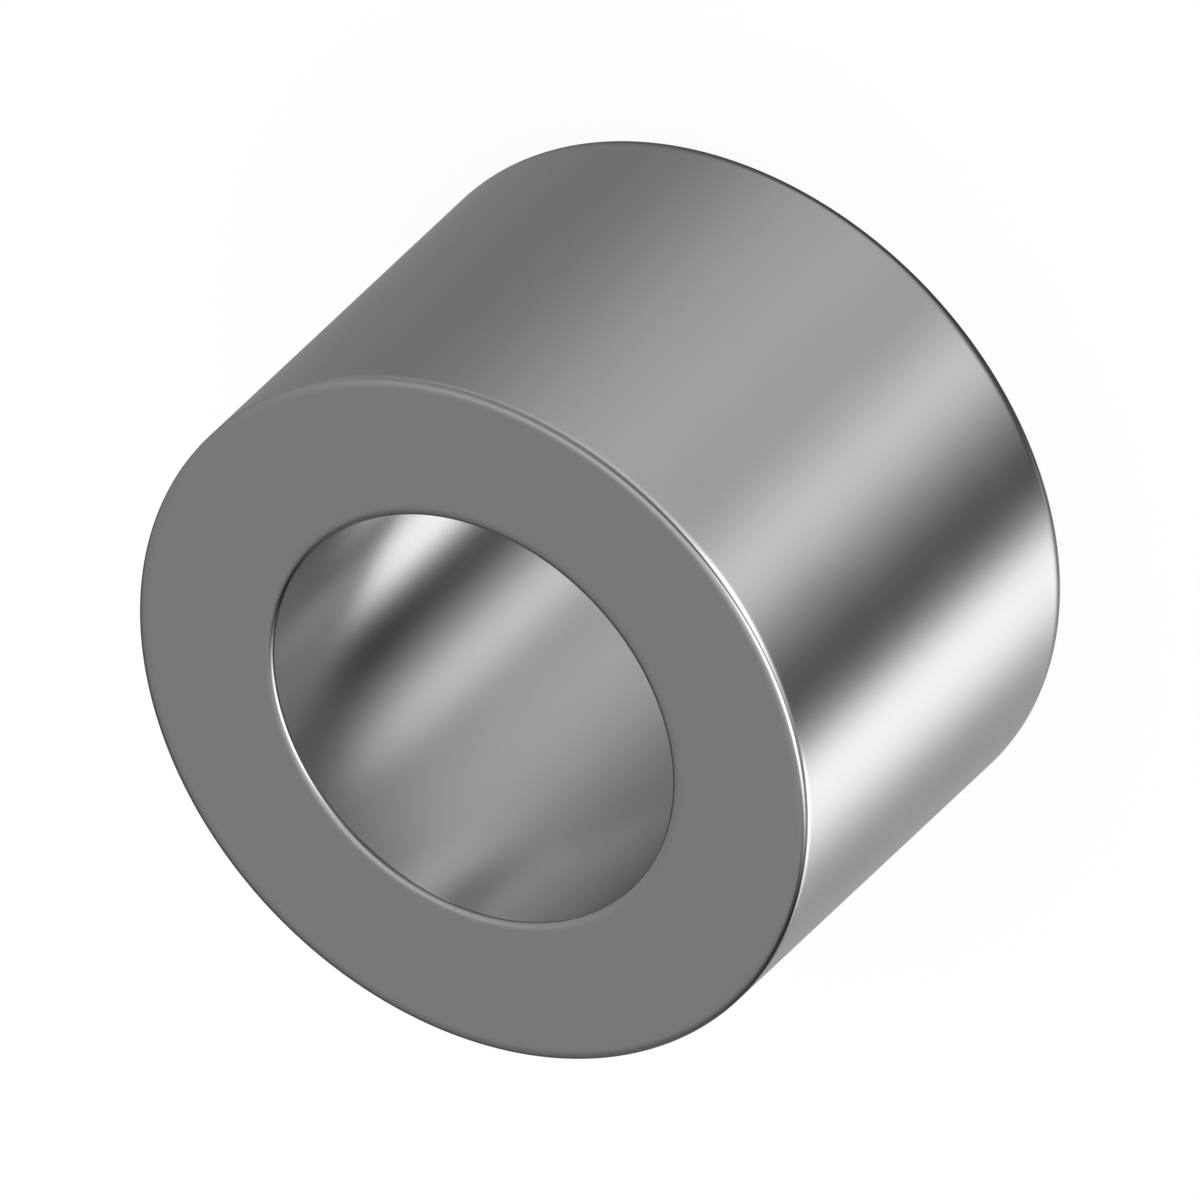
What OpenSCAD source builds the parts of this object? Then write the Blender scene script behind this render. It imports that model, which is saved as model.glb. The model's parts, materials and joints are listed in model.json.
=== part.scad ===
// Spacer sleeve: one plain ring of thick-walled steel tube, cut to length, faced square
// at both ends and with its edges rounded. It slips over a bolt or a pin and holds two
// parts apart by its own length.
// It stands on its lower end face, with its axis on Z and the origin at the middle of
// that face.

/* [Sleeve] */
// Diameter of the bore, which goes right through
bore_d = 12; // [4:0.5:40]
// Thickness of the wall between the bore and the outside
wall = 4; // [2:0.5:12]
// Length over the two end faces, which is the gap that the sleeve keeps
length = 13; // [4:0.5:60]

/* [Edges] */
// Radius of the round where each end face meets the outside
outer_edge_r = 0.2; // [0.1:0.05:0.8]
// Radius of the round where each end face meets the bore
bore_edge_r = 0.2; // [0.1:0.05:0.8]

/* [Hidden] */
// Straight steps in one turn about the axis
turn_steps = 180;
// Straight steps in a full circle of an edge's radius
edge_steps = 48;
// Radii of the bore and of the outside
bore_r = bore_d / 2;
outer_r = bore_r + wall;

// One side of the wall's section: a strip that starts at x and is as wide as the round
// of its edges, and at each end a circle about centre_x, which rounds the corner there
module side_strip(x, centre_x, edge_r) {
    translate([x, edge_r]) square([edge_r, length - 2 * edge_r]);
    for (centre_z = [edge_r, length - edge_r])
        translate([centre_x, centre_z]) circle(r = edge_r, $fn = edge_steps);
}

// The wall's section along the axis: the middle reaches both end faces, and a strip on
// each side has that side's rounded edges
module wall_section() {
    middle_x = bore_r + bore_edge_r;
    middle_end_x = outer_r - outer_edge_r;
    translate([middle_x, 0]) square([middle_end_x - middle_x, length]);
    side_strip(bore_r, middle_x, bore_edge_r);
    side_strip(middle_end_x, middle_end_x, outer_edge_r);
}

// The whole sleeve, turned about its axis from the section of its wall
module spacer_sleeve() {
    color([0.62, 0.62, 0.61]) rotate_extrude($fn = turn_steps) wall_section();
}

spacer_sleeve();
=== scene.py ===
"""The looks of a spacer sleeve: one plain ring of turned steel that stands on its end.

All lengths are in metres, in the frame of the solid model: the axis is Z, the lower end
face is at z = 0, a hair above the floor, and the camera looks from the -Y side.
"""

import json
import logging
import math
from dataclasses import dataclass
from enum import Enum
from typing import Any, Union

import bmesh
import bpy
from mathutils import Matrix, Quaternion, Vector


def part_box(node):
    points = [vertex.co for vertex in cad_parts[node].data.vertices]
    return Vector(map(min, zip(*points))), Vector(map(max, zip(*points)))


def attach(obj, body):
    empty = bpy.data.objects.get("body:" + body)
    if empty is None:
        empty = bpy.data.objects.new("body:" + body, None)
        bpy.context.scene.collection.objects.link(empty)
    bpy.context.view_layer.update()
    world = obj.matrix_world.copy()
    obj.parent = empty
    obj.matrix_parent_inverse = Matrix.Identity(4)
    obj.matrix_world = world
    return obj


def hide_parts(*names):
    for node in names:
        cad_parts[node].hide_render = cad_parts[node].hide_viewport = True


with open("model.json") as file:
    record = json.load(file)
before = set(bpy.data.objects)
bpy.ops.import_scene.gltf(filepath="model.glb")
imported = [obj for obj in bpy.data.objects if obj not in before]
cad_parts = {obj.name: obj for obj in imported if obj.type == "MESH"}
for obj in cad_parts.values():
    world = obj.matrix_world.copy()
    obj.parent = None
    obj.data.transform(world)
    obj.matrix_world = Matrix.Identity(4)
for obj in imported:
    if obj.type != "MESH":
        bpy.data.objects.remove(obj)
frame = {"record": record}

LOG = logging.getLogger("spacer_sleeve")
MM = 0.001
SOLID_NODE = "spacer_sleeve"
SLEEVE_PIECE = "turned_sleeve"
EDGE_ATTRIBUTE = "edge_share"
NOISE_MIDDLE = 0.5


class Signal:
    """One output of a shader node, on which arithmetic works as it does on a number."""

    def __init__(self, bench: "Bench", socket: bpy.types.NodeSocket) -> None:
        """Keeps the socket and the bench that it belongs to."""
        self.bench = bench
        self.socket = socket

    def _math(self, operation: str, first: "Number", second: "Number") -> "Signal":
        """Adds one Math node and returns its result."""
        made = self.bench.add("ShaderNodeMath", {"operation": operation}, {0: first, 1: second})
        return made["Value"]

    def __add__(self, other: "Number") -> "Signal":
        """Returns self + other."""
        return self._math("ADD", self, other)

    def __radd__(self, other: "Number") -> "Signal":
        """Returns other + self."""
        return self._math("ADD", other, self)

    def __sub__(self, other: "Number") -> "Signal":
        """Returns self - other."""
        return self._math("SUBTRACT", self, other)

    def __rsub__(self, other: "Number") -> "Signal":
        """Returns other - self."""
        return self._math("SUBTRACT", other, self)

    def __mul__(self, other: "Number") -> "Signal":
        """Returns self * other."""
        return self._math("MULTIPLY", self, other)

    def __rmul__(self, other: "Number") -> "Signal":
        """Returns other * self."""
        return self._math("MULTIPLY", other, self)

    def __pow__(self, other: "Number") -> "Signal":
        """Returns self ** other."""
        return self._math("POWER", self, other)

    def __rpow__(self, other: "Number") -> "Signal":
        """Returns other ** self."""
        return self._math("POWER", other, self)

    def __gt__(self, other: "Number") -> "Signal":
        """Returns 1 where self is greater than other, and 0 elsewhere."""
        return self._math("GREATER_THAN", self, other)


Number = Union[Signal, float]


@dataclass(frozen=True)
class Bench:
    """The node tree of one finish, or of the studio, and the one way to add a node to it."""

    tree: bpy.types.NodeTree

    def add(self, kind: str, settings: dict[str, Any], inputs: dict[Any, Any]) -> dict[str, Signal]:
        """Adds a node, sets it up and connects it.

        Args:
            kind: The node's type, such as ShaderNodeTexNoise.
            settings: The node's own properties, which are set first.
            inputs: For a socket's name or number, a value or the Signal to link to it.

        Returns:
            The outputs that the node has with these settings, by name.
        """
        node = self.tree.nodes.new(kind)
        for name, value in settings.items():
            setattr(node, name, value)
        for key, value in inputs.items():
            socket = self._input(node, key)
            if isinstance(value, Signal):
                self.tree.links.new(value.socket, socket)
            else:
                socket.default_value = value
        return {socket.name: Signal(self, socket) for socket in node.outputs if socket.enabled}

    @staticmethod
    def _input(node: bpy.types.Node, key: Union[str, int]) -> bpy.types.NodeSocket:
        """Finds one input of a node.

        Args:
            node: The node.
            key: The input's number, or its name, which some nodes give to several.

        Returns:
            The input of that number, or the one of that name that is in use.
        """
        if isinstance(key, int):
            return node.inputs[key]
        return next(socket for socket in node.inputs if socket.name == key and socket.enabled)

    def dot(self, vector: Signal, axis: Vector) -> Signal:
        """Returns how far a varying vector goes along a fixed axis."""
        made = self.add("ShaderNodeVectorMath", {"operation": "DOT_PRODUCT"}, {0: vector, 1: axis})
        return made["Value"]


@dataclass(frozen=True)
class TurnedSteel:
    """Bare satin steel with the fine marks of the tool that cut it.

    The marks run round the axis: on the walls they follow each other along the axis, and
    on the end faces from the bore outwards. mark_waver is how far they stray, as a share
    of their pitch, and mark_tone is their share in the tone, of which patches have the
    rest. edge_polish is how much smoother the handled edges are.
    """

    colour: tuple[float, float, float]
    roughness: float
    mark_pitch: float = 0.15 * MM
    mark_depth: float = 0.0001 * MM
    mark_waver: float = 0.4
    mark_tone: float = 0.5
    patch_size: float = 2.5 * MM
    tone_spread: float = 0.02
    roughness_spread: float = 0.03
    edge_polish: float = 0.02

    def marks(self, bench: Bench, place: Signal, patches: Signal) -> Signal:
        """Draws the tool marks.

        Args:
            bench: The finish's node tree.
            place: The point on the surface.
            patches: A slow variation, by which the marks waver a little.

        Returns:
            The height of the marks, from 0 to 1.
        """
        at = bench.add("ShaderNodeSeparateXYZ", {}, {"Vector": place})
        radius = (at["X"] * at["X"] + at["Y"] * at["Y"]) ** 0.5
        stray = (patches - NOISE_MIDDLE) * (self.mark_waver * self.mark_pitch)
        across = radius + at["Z"] + stray
        return bench.add(
            "ShaderNodeTexNoise",
            {"noise_dimensions": "1D"},
            {"W": across, "Scale": 1 / self.mark_pitch, "Detail": 2.0, "Roughness": 0.6},
        )["Fac"]

    def material(self) -> bpy.types.Material:
        """Makes the finish.

        Returns:
            A material whose tone, gloss and marks vary over the surface.
        """
        made = bpy.data.materials.new("turned_steel")
        made.use_nodes = True
        made.node_tree.nodes.clear()
        bench = Bench(made.node_tree)
        place = bench.add("ShaderNodeTexCoord", {}, {})["Object"]
        patches = bench.add(
            "ShaderNodeTexNoise",
            {"noise_dimensions": "3D"},
            {"Vector": place, "Scale": 1 / self.patch_size, "Detail": 3.0, "Roughness": 0.55},
        )["Fac"]
        marks = self.marks(bench, place, patches)
        darker = [channel * (1 - self.tone_spread) for channel in self.colour]
        lighter = [channel * (1 + self.tone_spread) for channel in self.colour]
        lightness = self.mark_tone * marks + (1 - self.mark_tone) * patches
        tone = bench.add(
            "ShaderNodeMix",
            {"data_type": "RGBA"},
            {"Factor": lightness, "A": (*darker, 1.0), "B": (*lighter, 1.0)},
        )["Result"]
        handled = bench.add("ShaderNodeAttribute", {"attribute_name": EDGE_ATTRIBUTE}, {})["Fac"]
        uneven = (patches - NOISE_MIDDLE) * self.roughness_spread
        gloss = self.roughness + uneven - handled * self.edge_polish
        relief = bench.add(
            "ShaderNodeBump", {}, {"Strength": 1.0, "Distance": self.mark_depth, "Height": marks}
        )["Normal"]
        surface = bench.add(
            "ShaderNodeBsdfPrincipled",
            {},
            {"Base Color": tone, "Metallic": 1.0, "Roughness": gloss, "Normal": relief},
        )["BSDF"]
        bench.add("ShaderNodeOutputMaterial", {}, {"Surface": surface})
        return made


@dataclass(frozen=True)
class SectionPoint:
    """One corner of the wall's section, and the way that the surface faces there.

    edge_share is 1 in the middle of an edge and 0 on the flats.
    """

    radius: float
    height: float
    face_out: float
    face_up: float
    edge_share: float


@dataclass
class Sleeve:
    """The whole object: one ring of thick steel tube, faced at both ends.

    Its edges are rounded by edge_radius. The direction that is stored for the light turns
    over a wider strip, as on an edge softened with a cloth: the strip reaches face_reach
    into an end face or the outside, and bore_reach into the bore, where less cloth gets.
    """

    bore_radius: float
    outer_radius: float
    length: float
    edge_radius: float = 0.04 * MM
    face_reach: float = 0.32 * MM
    bore_reach: float = 0.14 * MM
    edge_steps: int = 8
    blend_rows: int = 10
    wall_rows: int = 6
    end_rows: int = 4
    turn_steps: int = 384

    @staticmethod
    def facing(beyond: float) -> float:
        """Works out how the surface faces near an edge.

        Args:
            beyond: How far past the edge's middle the point lies, as a share of the reach:
                -1 to 0 on the wall, 0 to 1 on the end face.

        Returns:
            The angle from the wall's direction to the end face's, in radians.
        """
        turned = math.copysign(1 - (1 - abs(beyond)) ** 2, beyond)
        return math.pi / 4 * (1 + turned)

    def strip(self, reach: float) -> list[float]:
        """Returns how far the rows of one strip lie from the corner, the farthest first."""
        rows = self.blend_rows
        return [reach + (self.edge_radius - reach) * row / rows for row in range(rows)]

    def edge(self, outward: int, upward: int) -> list[SectionPoint]:
        """Works out one edge with the strips on both sides of it.

        Args:
            outward: 1 at the outside, -1 at the bore, where the wall faces the axis.
            upward: 1 at the upper end, -1 at the lower end.

        Returns:
            The section's points from the wall to the end face.
        """
        radius = self.edge_radius
        wall_reach = self.face_reach if outward > 0 else self.bore_reach
        insets = [(0.0, depth) for depth in self.strip(wall_reach)]
        for step in range(self.edge_steps + 1):
            turn = math.pi / 2 * step / self.edge_steps
            insets.append((radius * (1 - math.cos(turn)), radius * (1 - math.sin(turn))))
        insets += [(depth, 0.0) for depth in reversed(self.strip(self.face_reach))]
        wall_radius = self.outer_radius if outward > 0 else self.bore_radius
        end_height = self.length if upward > 0 else 0.0
        points = []
        for from_wall, from_end in insets:
            past = from_wall - from_end
            beyond = past / (self.face_reach if past > 0 else wall_reach)
            angle = self.facing(beyond)
            points.append(
                SectionPoint(
                    radius=wall_radius - outward * from_wall,
                    height=end_height - upward * from_end,
                    face_out=outward * math.cos(angle),
                    face_up=upward * math.sin(angle),
                    edge_share=1 - abs(beyond),
                )
            )
        return points

    @staticmethod
    def flat(start: SectionPoint, end: SectionPoint, rows: int) -> list[SectionPoint]:
        """Divides the straight line from one edge to the next.

        Args:
            start: The last point of the edge before.
            end: The first point of the edge after.
            rows: How many rows of faces the line gets.

        Returns:
            The points between the two.
        """
        points = []
        for row in range(1, rows):
            share = row / rows
            points.append(
                SectionPoint(
                    radius=start.radius + (end.radius - start.radius) * share,
                    height=start.height + (end.height - start.height) * share,
                    face_out=end.face_out,
                    face_up=end.face_up,
                    edge_share=0.0,
                )
            )
        return points

    def section(self) -> list[SectionPoint]:
        """Draws the wall's section.

        Returns:
            The points once round it, from the outside's lower edge up, over the upper
            end, down the bore and back under the lower end.
        """
        edges = [
            list(reversed(self.edge(1, -1))),
            self.edge(1, 1),
            list(reversed(self.edge(-1, 1))),
            self.edge(-1, -1),
        ]
        rows = [self.wall_rows, self.end_rows, self.wall_rows, self.end_rows]
        points = []
        for number, here in enumerate(edges):
            after = edges[(number + 1) % len(edges)]
            points += here + self.flat(here[-1], after[0], rows[number])
        return points

    def build(self) -> bpy.types.Object:
        """Turns the section about the axis.

        Returns:
            The sleeve, with the surface's direction and its nearness to an edge stored at
            every corner.
        """
        section = self.section()
        form = bmesh.new()
        rings = []
        normals = []
        for step in range(self.turn_steps):
            angle = 2 * math.pi * step / self.turn_steps
            along_x, along_y = math.cos(angle), math.sin(angle)
            rings.append(
                [form.verts.new((p.radius * along_x, p.radius * along_y, p.height)) for p in section]
            )
            normals += [(p.face_out * along_x, p.face_out * along_y, p.face_up) for p in section]
        for step, ring in enumerate(rings):
            following = rings[(step + 1) % len(rings)]
            for index in range(len(section)):
                corners = (ring[index - 1], following[index - 1], following[index], ring[index])
                form.faces.new(corners).smooth = True
        mesh = bpy.data.meshes.new(SLEEVE_PIECE)
        form.to_mesh(mesh)
        form.free()
        mesh.normals_split_custom_set_from_vertices(normals)
        shares = mesh.attributes.new(EDGE_ATTRIBUTE, "FLOAT", "POINT")
        shares.data.foreach_set("value", [p.edge_share for p in section] * self.turn_steps)
        piece = bpy.data.objects.new(SLEEVE_PIECE, mesh)
        bpy.context.scene.collection.objects.link(piece)
        return piece

    def dress(self, piece: bpy.types.Object, finish: TurnedSteel) -> None:
        """Gives the sleeve its finish, the same on every surface."""
        piece.data.materials.append(finish.material())


class Role(Enum):
    """What a patch of the studio does to the light that comes from there."""

    LAMP = "adds its level"
    FLAG = "holds back its share"


def direction(bearing: float, elevation: float) -> Vector:
    """Returns the way from the sleeve to a place in the studio.

    Args:
        bearing: Degrees round from the camera's side, towards +X.
        elevation: Degrees above the floor's level.

    Returns:
        A vector of length 1.
    """
    turn, rise = math.radians(bearing), math.radians(elevation)
    return Vector((math.sin(turn) * math.cos(rise), -math.cos(turn) * math.cos(rise), math.sin(rise)))


@dataclass(frozen=True)
class Patch:
    """A soft-edged oval of the studio, lit or flagged off, as the steel sees it.

    Angles are in degrees. tilt turns the oval, and the two halves are its reach from
    the middle along its own width and height. flatness is 1 for a plain bell, and more
    for an oval with a flatter middle and a steeper rim.
    """

    name: str
    role: Role
    bearing: float
    elevation: float
    half_width: float
    half_height: float
    level: float
    tilt: float = 0.0
    flatness: float = 1.5

    def cover(self, bench: Bench, sight: Signal) -> Signal:
        """Draws the oval.

        Args:
            bench: The studio's node tree.
            sight: The direction looked in.

        Returns:
            1 in the middle of the oval, falling softly to 0 outside it.
        """
        aim = direction(self.bearing, self.elevation)
        level_line = direction(self.bearing + 90, 0)
        upright = aim.cross(level_line)
        upright = upright if upright.z > 0 else -upright
        turn = math.radians(self.tilt)
        width_line = level_line * math.cos(turn) + upright * math.sin(turn)
        height_line = upright * math.cos(turn) - level_line * math.sin(turn)
        wide = bench.dot(sight, width_line / math.sin(math.radians(self.half_width)))
        tall = bench.dot(sight, height_line / math.sin(math.radians(self.half_height)))
        outward = (wide * wide + tall * tall) ** self.flatness
        ahead = bench.dot(sight, aim) > 0
        return math.exp(-1) ** outward * ahead


@dataclass(frozen=True)
class Studio:
    """A pale floor, a white background and the soft lights that the steel reflects.

    Where the floor gets open_floor_light or more of the world's light, it is white.
    """

    wall_level: float
    patches: tuple[Patch, ...]
    lamp_tint: tuple[float, float, float, float] = (1.0, 0.992, 0.98, 1.0)
    wall_tint: tuple[float, float, float, float] = (0.98, 0.985, 1.0, 1.0)
    floor_radius: float = 0.4
    floor_steps: int = 96
    floor_gap: float = 0.005 * MM
    shadow_share: float = 0.12
    open_floor_light: float = 0.88

    def surroundings(self) -> None:
        """Makes the world: plain white light, but lamps and flags where steel mirrors it.

        The world is met only by rays that leave a surface and never picked as a lamp, so
        that each kind of ray keeps to its own picture of it.
        """
        world = bpy.data.worlds.new("studio")
        world.use_nodes = True
        world.node_tree.nodes.clear()
        bench = Bench(world.node_tree)
        sight = bench.add("ShaderNodeTexCoord", {}, {})["Generated"]
        lamps: Number = 0.0
        unflagged: Number = 1.0
        for patch in self.patches:
            LOG.info("%s %s", patch.name, patch.role.value)
            if patch.role is Role.LAMP:
                lamps = lamps + patch.level * patch.cover(bench, sight)
            else:
                unflagged = unflagged * (1 - patch.level * patch.cover(bench, sight))
        lamp_light = bench.add(
            "ShaderNodeBackground", {}, {"Color": self.lamp_tint, "Strength": lamps * unflagged}
        )["Background"]
        wall_light = bench.add(
            "ShaderNodeBackground",
            {},
            {"Color": self.wall_tint, "Strength": self.wall_level * unflagged},
        )["Background"]
        seen_by_steel = bench.add("ShaderNodeAddShader", {}, {0: lamp_light, 1: wall_light})["Shader"]
        plain = bench.add(
            "ShaderNodeBackground", {}, {"Color": (1.0, 1.0, 1.0, 1.0), "Strength": 1.0}
        )["Background"]
        is_glossy = bench.add("ShaderNodeLightPath", {}, {})["Is Glossy Ray"]
        shown = bench.add("ShaderNodeMixShader", {}, {0: is_glossy, 1: plain, 2: seen_by_steel})
        bench.add("ShaderNodeOutputWorld", {}, {"Surface": shown["Shader"]})
        world.cycles.sampling_method = "NONE"
        bpy.context.scene.world = world

    def floor_finish(self) -> bpy.types.Material:
        """Makes the floor's paint, which is white in the open and keeps a faint shadow.

        Returns:
            A material that is part lit by the world and part white to the camera. From
            below it is clear, as the sleeve's lower end would be hidden otherwise.
        """
        made = bpy.data.materials.new("pale_floor")
        made.use_nodes = True
        made.node_tree.nodes.clear()
        bench = Bench(made.node_tree)
        paint = bench.add(
            "ShaderNodeBsdfDiffuse", {}, {"Color": (self.shadow_share,) * 3 + (1.0,)}
        )["BSDF"]
        is_camera = bench.add("ShaderNodeLightPath", {}, {})["Is Camera Ray"]
        rest = 1.0 - self.shadow_share * self.open_floor_light
        glow = bench.add("ShaderNodeEmission", {}, {"Strength": is_camera * rest})["Emission"]
        upper_side = bench.add("ShaderNodeAddShader", {}, {0: paint, 1: glow})["Shader"]
        lower_side = bench.add("ShaderNodeBsdfTransparent", {}, {})["BSDF"]
        is_below = bench.add("ShaderNodeNewGeometry", {}, {})["Backfacing"]
        sheet = bench.add("ShaderNodeMixShader", {}, {0: is_below, 1: upper_side, 2: lower_side})
        bench.add("ShaderNodeOutputMaterial", {}, {"Surface": sheet["Shader"]})
        return made

    def floor(self) -> bpy.types.Object:
        """Lays the floor under the sleeve.

        Returns:
            A flat round sheet a hair under the sleeve, which the steel looks through to
            the studio.
        """
        form = bmesh.new()
        bmesh.ops.create_circle(
            form, cap_ends=True, segments=self.floor_steps, radius=self.floor_radius
        )
        mesh = bpy.data.meshes.new("floor")
        form.to_mesh(mesh)
        form.free()
        mesh.materials.append(self.floor_finish())
        sheet = bpy.data.objects.new("floor", mesh)
        sheet.location.z = -self.floor_gap
        sheet.visible_glossy = False
        sheet.visible_shadow = False
        bpy.context.scene.collection.objects.link(sheet)
        return sheet


@dataclass(frozen=True)
class Viewpoint:
    """The camera: parallel lines of sight, as in the photograph.

    roll turns the picture, so that the sleeve's upper end points to the lower left. Only
    what lies between nearest and farthest is seen.
    """

    elevation: float = 46.05
    roll: float = -133.08
    distance: float = 0.12
    picture_width: float = 31.04 * MM
    nearest: float = 1 * MM
    farthest: float = 1.0

    def place(self, centre: Vector) -> bpy.types.Object:
        """Makes the camera.

        Args:
            centre: The point that the camera looks at.

        Returns:
            The camera, which is also the scene's own.
        """
        lens = bpy.data.cameras.new("camera")
        lens.type = "ORTHO"
        lens.ortho_scale = self.picture_width
        lens.clip_start = self.nearest
        lens.clip_end = self.farthest
        camera = bpy.data.objects.new("camera", lens)
        back = direction(0, self.elevation)
        camera.location = centre + back * self.distance
        camera.rotation_mode = "QUATERNION"
        turn = Quaternion((0, 0, 1), math.radians(self.roll))
        camera.rotation_quaternion = (-back).to_track_quat("-Z", "Y") @ turn
        bpy.context.scene.collection.objects.link(camera)
        bpy.context.scene.camera = camera
        return camera


STEEL = TurnedSteel(colour=(0.5, 0.497, 0.49), roughness=0.25)

STUDIO = Studio(
    wall_level=0.37,
    patches=(
        Patch("overhead lamp", Role.LAMP, -40, 80, 45, 30, 0.5, tilt=60),
        Patch("high left lamp", Role.LAMP, -55, 40, 40, 20, 2.8),
        Patch("low front lamp", Role.LAMP, -25, -10, 25, 15, 2.5, tilt=20),
        Patch("front strip", Role.LAMP, -25, -32, 12, 14, 2.3, tilt=35),
        Patch("left strip", Role.LAMP, -98, -20, 15, 40, 2.0),
        Patch("left spot", Role.LAMP, -84, -33, 9, 9, 3.7),
        Patch("rear strip", Role.LAMP, -135, -55, 35, 10, 0.4),
        Patch("front fill", Role.LAMP, 10, -25, 50, 15, 0.7, tilt=-10),
        Patch("low fill", Role.LAMP, 30, -60, 25, 16, 0.8),
        Patch("flag between the strips", Role.FLAG, -63, -50, 10, 25, 0.95),
        Patch("left flag", Role.FLAG, -115, 30, 15, 30, 1.0, tilt=10),
        Patch("rear flag", Role.FLAG, -110, 15, 50, 25, 1.0, tilt=-15),
        Patch("low rear flag", Role.FLAG, 175, -15, 40, 20, 0.7),
        Patch("flag at the camera", Role.FLAG, -5, 25, 30, 25, 0.9, tilt=30),
        Patch("dark ground", Role.FLAG, 0, -90, 38, 38, 0.8),
    ),
)


def report(piece: bpy.types.Object) -> None:
    """Logs the name, the size and the number of faces of a piece."""
    size = " x ".join(f"{side / MM:.2f}" for side in piece.dimensions)
    LOG.info("%s: %s mm, %d faces", piece.name, size, len(piece.data.polygons))


def main() -> None:
    """Builds the sleeve around the solid model, then the studio and the camera."""
    logging.basicConfig(level=logging.INFO, format="%(name)s: %(message)s")
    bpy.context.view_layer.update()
    low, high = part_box(SOLID_NODE)
    bore = next(mount for mount in frame["record"]["mounts"] if mount["name"] == "bore")
    sleeve = Sleeve(
        bore_radius=bore["dims"]["r_mm"] * MM,
        outer_radius=(high.x - low.x) / 2,
        length=high.z - low.z,
    )
    piece = sleeve.build()
    sleeve.dress(piece, STEEL)
    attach(piece, "root")
    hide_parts(SOLID_NODE)
    report(piece)
    STUDIO.surroundings()
    report(STUDIO.floor())
    Viewpoint().place((low + high) / 2)
    bpy.context.scene.view_settings.view_transform = "Standard"


if __name__ == "__main__":
    main()
